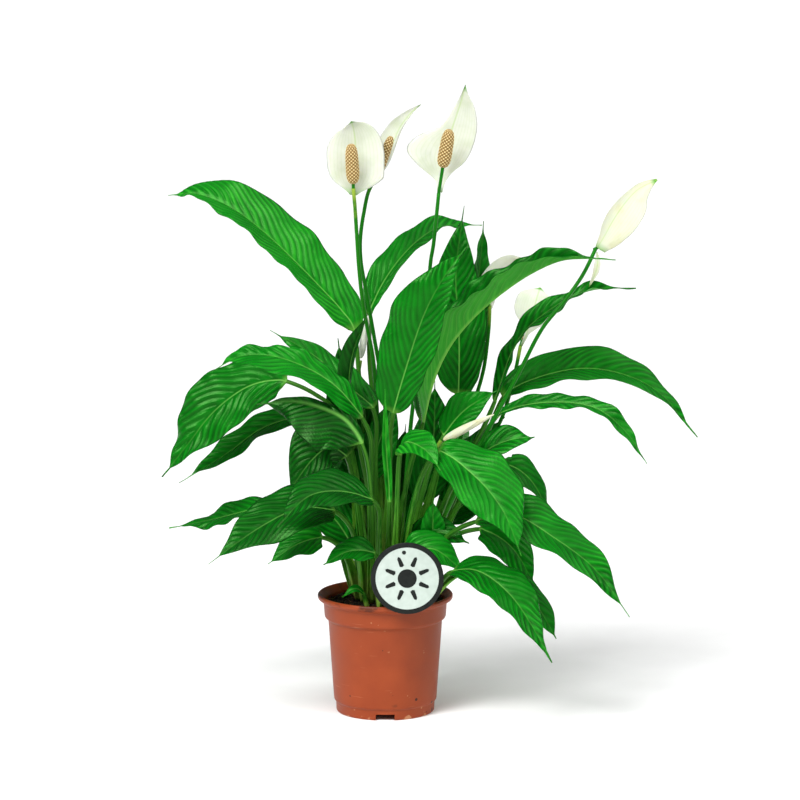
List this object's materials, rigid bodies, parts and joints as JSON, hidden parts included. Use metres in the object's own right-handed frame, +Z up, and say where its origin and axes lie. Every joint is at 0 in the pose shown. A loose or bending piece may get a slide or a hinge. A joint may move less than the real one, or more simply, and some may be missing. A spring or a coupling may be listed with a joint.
{
  "type": "potted peace lily",
  "caption": "White-flowered peace lily with glossy arching leaves, growing in a round plastic nursery pot of soil with a round plant tag on the rim.",
  "frame": {"origin": "on the pot's axis, in the plane that the pot stands on", "axes": "+Z up along the pot's axis, +X along the wide way of the leaves, -Y towards the side that carries the tag"},
  "size_m": [0.518, 0.278, 0.603],
  "materials": {
    "pot_plastic": "satin",
    "soil": "matte",
    "tag_face": "satin",
    "tag_clip": "satin",
    "leaf": "satin",
    "stalk": "satin",
    "spathe": "satin",
    "spadix": "matte"
  },
  "bodies": {
    "root": {"pot": "pot_plastic", "soil": "soil", "tag_disc": "tag_face", "tag_clip": "tag_clip", "leaf_01": "leaf", "leaf_02": "leaf", "leaf_03": "leaf", "leaf_04": "leaf", "leaf_05": "leaf", "leaf_06": "leaf", "leaf_07": "leaf", "leaf_08": "leaf", "leaf_09": "leaf", "leaf_10": "leaf", "leaf_11": "leaf", "leaf_12": "leaf", "leaf_13": "leaf", "leaf_14": "leaf", "leaf_15": "leaf", "leaf_16": "leaf", "leaf_17": "leaf", "leaf_18": "leaf", "leaf_19": "leaf", "leaf_20": "leaf", "leaf_21": "leaf", "leaf_22": "leaf", "leaf_23": "leaf", "leaf_24": "leaf", "leaf_25": "leaf", "leaf_26": "leaf", "leaf_27": "leaf", "leaf_28": "leaf", "leaf_29": "leaf", "leaf_30": "leaf", "leaf_31": "leaf", "leaf_32": "leaf", "leaf_33": "leaf", "leaf_34": "leaf", "spathe_front_left": "spathe", "spadix_front_left": "spadix", "flower_stalk_front_left": "stalk", "spathe_back_left": "spathe", "spadix_back_left": "spadix", "flower_stalk_back_left": "stalk", "spathe_middle": "spathe", "spadix_middle": "spadix", "flower_stalk_middle": "stalk", "spathe_right": "spathe", "spadix_right": "spadix", "flower_stalk_right": "stalk", "spathe_back_right_high": "spathe", "spadix_back_right_high": "spadix", "flower_stalk_back_right_high": "stalk", "spathe_back_right_low": "spathe", "spadix_back_right_low": "spadix", "flower_stalk_back_right_low": "stalk", "bud_left": "spathe", "bud_stalk_left": "stalk", "bud_front": "spathe", "bud_stalk_front": "stalk"}
  },
  "joints": []
}
